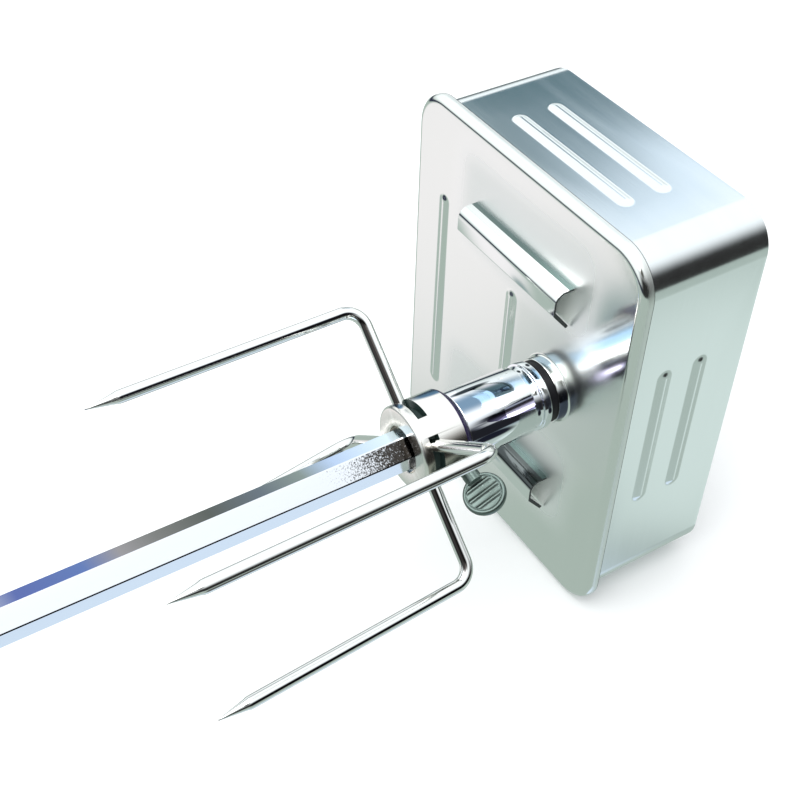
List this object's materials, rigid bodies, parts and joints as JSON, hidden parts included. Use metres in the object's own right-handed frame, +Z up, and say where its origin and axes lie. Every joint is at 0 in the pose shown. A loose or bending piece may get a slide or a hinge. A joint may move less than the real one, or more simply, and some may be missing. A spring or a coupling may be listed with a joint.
{
  "type": "rotisserie drive unit",
  "caption": "Stainless motor housing with bracket rails, and a hexagonal spit rod that carries a bushing and a bent-tine meat fork.",
  "frame": {"origin": "centre of the front cover's outer face", "axes": "+Z up, +Y into the housing along the spit axis, +X to the right seen from the spit's side; the spit points along -Y"},
  "size_m": [0.1368, 0.453, 0.166],
  "materials": {
    "cover_steel": "polished stainless sheet",
    "body_steel": "brushed stainless sheet",
    "rail_steel": "polished stainless strip",
    "chrome_bushing": "bright chrome plate",
    "hub_nickel": "satin nickel plate",
    "tine_wire": "bright chromed wire",
    "rod_steel": "bright drawn bar",
    "screw_zinc": "dull zinc plate",
    "collar_plastic": "black moulded nylon",
    "black_plastic": "black moulded",
    "rocker_plastic": "black moulded",
    "seal_rubber": "black moulded",
    "zinc_steel": "zinc plated",
    "plate_steel": "zinc plated sheet",
    "gear_nylon": "natural nylon",
    "gear_brass": "machined",
    "bronze_bush": "sintered bronze",
    "lamination_steel": "stacked laminations",
    "rotor_aluminium": "cast cage rotor",
    "coil_copper": "enamelled copper winding",
    "ground_steel": "ground shaft"
  },
  "bodies": {
    "housing": {"front_cover": "cover_steel", "body_shell": "body_steel", "back_panel": "body_steel", "upper_rail": "rail_steel", "lower_rail": "rail_steel", "cover_posts": "zinc_steel", "cover_screws": "zinc_steel", "front_gear_plate": "plate_steel", "rear_gear_plate": "plate_steel", "frame_studs": "zinc_steel", "frame_spacers": "zinc_steel", "frame_nuts": "zinc_steel", "collar_bush": "collar_plastic", "output_rear_bush": "bronze_bush", "layshaft_bushes": "bronze_bush", "rotor_bushes": "bronze_bush", "stator_stack": "lamination_steel", "motor_coil": "coil_copper", "motor_bracket": "plate_steel", "motor_spacers": "zinc_steel", "motor_screws": "zinc_steel", "switch_housing": "black_plastic", "switch_terminals": "gear_brass", "rocker_pin": "ground_steel", "gland_body": "black_plastic", "gland_lock_nut": "black_plastic", "gland_seal": "seal_rubber", "gland_cap": "black_plastic"},
    "output": {"output_socket": "ground_steel", "output_gear": "gear_nylon", "retaining_ring": "ground_steel"},
    "layshaft_set": {"layshaft": "ground_steel", "layshaft_pinion": "gear_brass", "layshaft_gear": "gear_nylon"},
    "rotor": {"rotor_core": "rotor_aluminium", "rotor_shaft": "ground_steel", "motor_pinion": "gear_brass"},
    "rocker": {"rocker": "rocker_plastic"},
    "spit": {"spit_rod": "rod_steel", "spit_bushing": "chrome_bushing", "bushing_set_screw": "ground_steel"},
    "fork": {"fork_hub": "hub_nickel", "tine_1": "tine_wire", "tine_2": "tine_wire", "tine_3": "tine_wire", "tine_4": "tine_wire"},
    "thumb_screw": {"thumb_screw": "screw_zinc"}
  },
  "joints": [
    {"name": "output_spin", "type": "hinge", "parent": "housing", "child": "output", "pos_m": [0.0256, 0, 0.005], "axis": [0, 1, 0], "continuous": true},
    {"name": "layshaft_spin", "type": "hinge", "parent": "housing", "child": "layshaft_set", "pos_m": [-0.00815, 0, 0.005], "axis": [0, 1, 0], "continuous": true},
    {"name": "rotor_spin", "type": "hinge", "parent": "housing", "child": "rotor", "pos_m": [-0.03415, 0, 0.005], "axis": [0, 1, 0], "continuous": true},
    {"name": "rocker_tilt", "type": "hinge", "parent": "housing", "child": "rocker", "pos_m": [0.035, 0.052, 0.04], "axis": [1, 0, 0], "range_deg": [0, 24]},
    {"name": "spit_slide", "type": "slide", "parent": "output", "child": "spit", "axis": [0, -1, 0], "range_m": [0, 0.03]},
    {"name": "fork_slide", "type": "slide", "parent": "spit", "child": "fork", "axis": [0, -1, 0], "range_m": [0, 0.28]},
    {"name": "thumb_screw_turn", "type": "hinge", "parent": "fork", "child": "thumb_screw", "pos_m": [0.0532, -0.046, 0.00028], "axis": [0.9857, 0, -0.1685], "range_deg": [0, 360]}
  ],
  "couplings": [
    {"joint": "layshaft_spin", "follows": "output_spin", "ratio": -3.5},
    {"joint": "rotor_spin", "follows": "output_spin", "ratio": 11.667}
  ]
}
